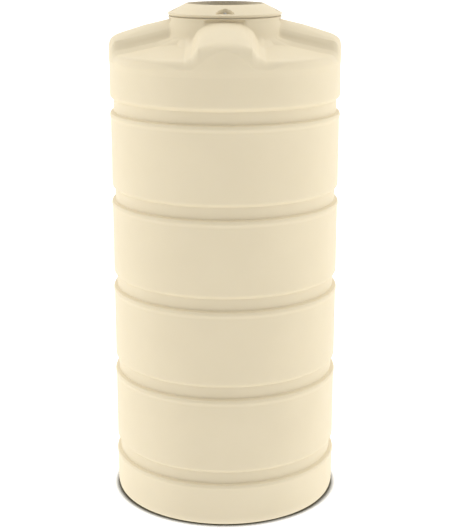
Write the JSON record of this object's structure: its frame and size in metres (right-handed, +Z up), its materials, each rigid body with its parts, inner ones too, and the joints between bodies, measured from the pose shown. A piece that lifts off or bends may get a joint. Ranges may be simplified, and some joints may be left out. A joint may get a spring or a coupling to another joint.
{
  "type": "round water tank",
  "caption": "Tall round rainwater tank with ring grooves, a ribbed conical roof, a screwed lid ring over a strainer basket, a bottom ball valve and a screened overflow.",
  "frame": {"origin": "the middle of the base's flat underside, on the tank's own axis", "axes": "+Z up along the tank's axis; -Y is the front, between the viewer and the front rib; the outlet and the overflow are at the back, on +Y"},
  "size_m": [1.213, 1.3335, 2.654],
  "materials": {
    "cream_plastic": "satin moulded polyethylene",
    "black_plastic": "satin moulded plastic",
    "black_rubber": "matt",
    "pale_silicone": "matt",
    "stainless": "brushed",
    "brass": "machined",
    "white_seat": "smooth",
    "red_lever": "satin paint"
  },
  "bodies": {
    "tank": {"tank_shell": "cream_plastic", "lid_ring": "cream_plastic", "lid_seal": "pale_silicone", "lid_washer_1": "stainless", "lid_washer_2": "stainless", "lid_washer_3": "stainless", "lid_washer_4": "stainless", "lid_screw_1": "stainless", "lid_screw_2": "stainless", "lid_screw_3": "stainless", "lid_screw_4": "stainless", "strainer_basket": "black_plastic", "strainer_mesh": "stainless", "outlet_fitting": "black_plastic", "outlet_outer_washer": "black_rubber", "outlet_inner_washer": "black_rubber", "outlet_backnut": "black_plastic", "valve_body": "brass", "valve_end_cap": "brass", "valve_gland_nut": "brass", "valve_seat_inner": "white_seat", "valve_seat_outer": "white_seat", "valve_packing": "black_rubber", "overflow_fitting": "black_plastic", "overflow_outer_washer": "black_rubber", "overflow_inner_washer": "black_rubber", "overflow_backnut": "black_plastic", "overflow_screen_cap": "black_plastic", "overflow_screen": "stainless"},
    "lever": {"valve_lever": "red_lever", "valve_stem": "stainless", "valve_ball": "stainless", "valve_lever_nut": "stainless"}
  },
  "joints": [
    {"name": "valve_turn", "type": "hinge", "parent": "tank", "child": "lever", "pos_m": [0, 0.66806, 0.092], "axis": [0, 0, 1], "range_deg": [0, 90]}
  ]
}
